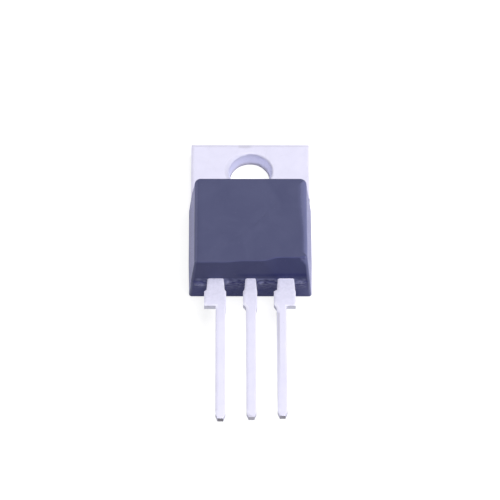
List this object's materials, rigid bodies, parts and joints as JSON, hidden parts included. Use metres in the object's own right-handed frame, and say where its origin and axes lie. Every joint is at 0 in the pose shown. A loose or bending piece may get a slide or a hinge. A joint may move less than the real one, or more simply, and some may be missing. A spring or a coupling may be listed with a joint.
{
  "type": "thyristor",
  "caption": "Thyristor in a through-hole power package: dark epoxy moulding, tinned mounting tab with a screw hole, flat punched leads.",
  "frame": {"origin": "axis of the tab's screw hole, at the mounting face", "axes": "+Z out of the mounting face towards the front of the moulding, +Y from the leads towards the top of the tab, +X to the right seen from the front with the leads down"},
  "size_m": [0.0104, 0.0295, 0.0047],
  "materials": {
    "tinned_tab": "satin",
    "tinned_leads": "satin",
    "epoxy": "satin",
    "solder": "satin",
    "copper_foil": "satin",
    "ceramic_plate": "matte",
    "silicon": "gloss",
    "seal_glass": "gloss",
    "bond_wire": "satin"
  },
  "bodies": {
    "root": {"tab": "tinned_tab", "moulding": "epoxy", "lead_cathode": "tinned_leads", "lead_anode": "tinned_leads", "lead_gate": "tinned_leads", "insulator_solder_lower": "solder", "insulator_foil_lower": "copper_foil", "insulator_ceramic": "ceramic_plate", "insulator_foil_upper": "copper_foil", "insulator_solder_upper": "solder", "chip_solder": "solder", "thyristor_chip": "silicon", "passivation_glass": "seal_glass", "cathode_wire_left": "bond_wire", "cathode_wire_right": "bond_wire", "gate_wire": "bond_wire"}
  },
  "joints": []
}
